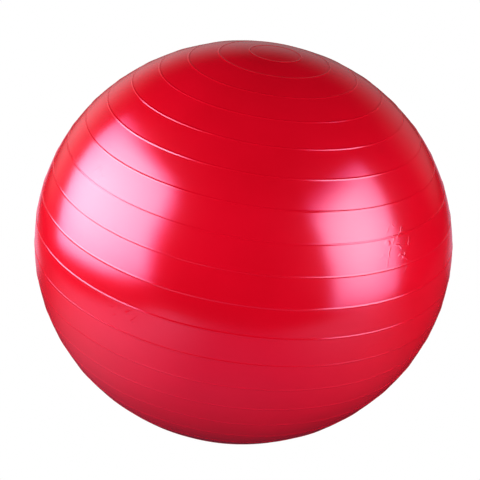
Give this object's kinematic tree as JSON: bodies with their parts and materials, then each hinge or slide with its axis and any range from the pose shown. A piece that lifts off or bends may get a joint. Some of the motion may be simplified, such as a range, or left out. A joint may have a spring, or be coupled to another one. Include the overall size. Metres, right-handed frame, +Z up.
{
  "type": "exercise ball",
  "caption": "Large inflatable ball with raised grip ribs, for balance, stretching and physiotherapy exercises, closed by a push-in air valve plug.",
  "frame": {"origin": "floor level, under the centre of the ball", "axes": "+Z up, the valve plug faces +Y, the rib axis leans from vertical towards +X"},
  "size_m": [0.6493, 0.6499, 0.6215],
  "materials": {
    "skin": "glossy soft PVC",
    "seat": "satin soft PVC",
    "plug": "satin polyethylene"
  },
  "bodies": {
    "ball": {"ball_shell": "skin", "valve_seat": "seat"},
    "plug": {"valve_plug": "plug"}
  },
  "joints": [
    {"name": "plug_pull", "type": "slide", "parent": "ball", "child": "plug", "axis": [0, 1, 0], "range_m": [0, 0.04]}
  ]
}
